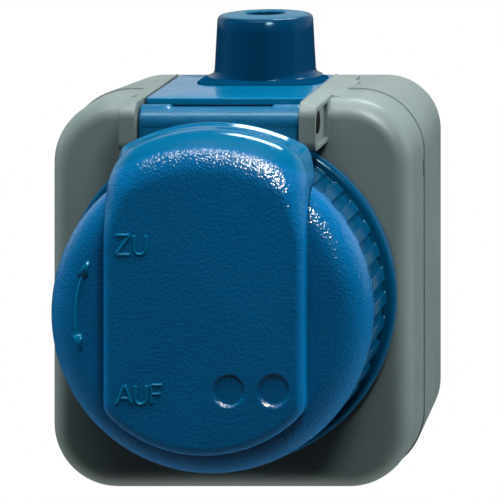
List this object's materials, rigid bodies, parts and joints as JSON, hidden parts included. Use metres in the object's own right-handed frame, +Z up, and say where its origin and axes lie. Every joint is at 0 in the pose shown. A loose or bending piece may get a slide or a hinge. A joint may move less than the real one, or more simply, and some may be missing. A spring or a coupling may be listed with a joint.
{
  "type": "surface mounted waterproof socket",
  "caption": "Surface mounted waterproof power socket: rounded grey housing, hinged blue flap with a turning bayonet ring over a round plug recess, cable nozzle on top.",
  "frame": {"origin": "centre of the socket, on the flat back that lies on the wall", "axes": "+X to the right seen from the front, +Y into the wall, +Z up towards the hinge and the cable nozzle"},
  "size_m": [0.0756, 0.086, 0.0951],
  "materials": {
    "grey_housing": "smooth satin moulded plastic",
    "blue_cap": "moulded plastic, spark-eroded grain on the flap and ring",
    "black_rubber": "soft sealing rubber",
    "white_insert": "smooth moulded insert",
    "brass": "rolled strip",
    "steel": "zinc plated"
  },
  "bodies": {
    "housing": {"rear_box": "grey_housing", "box_seal": "black_rubber", "front_cover": "grey_housing", "cover_screws": "steel", "cable_entry": "blue_cap", "entry_seal": "black_rubber", "entry_nut": "blue_cap", "hinge_pin": "steel", "socket_collar": "grey_housing", "collar_seal": "black_rubber", "socket_cup": "white_insert", "contact_base": "white_insert", "left_contact": "brass", "right_contact": "brass", "earth_bow": "brass", "terminal_screws": "steel", "support_plate": "steel", "plate_screws": "steel", "centre_screw": "steel"},
    "lid": {"lid_flap": "blue_cap", "seal_carrier": "grey_housing", "lid_seal": "black_rubber", "carrier_screw": "steel"},
    "ring": {"lock_ring": "blue_cap"}
  },
  "joints": [
    {"name": "lid_hinge", "type": "hinge", "parent": "housing", "child": "lid", "pos_m": [0, -0.0646, 0.0374], "axis": [-1, 0, 0], "range_deg": [0, 115]},
    {"name": "ring_turn", "type": "hinge", "parent": "lid", "child": "ring", "pos_m": [0, -0.0676, 0], "axis": [0, 1, 0], "range_deg": [0, 40]}
  ]
}
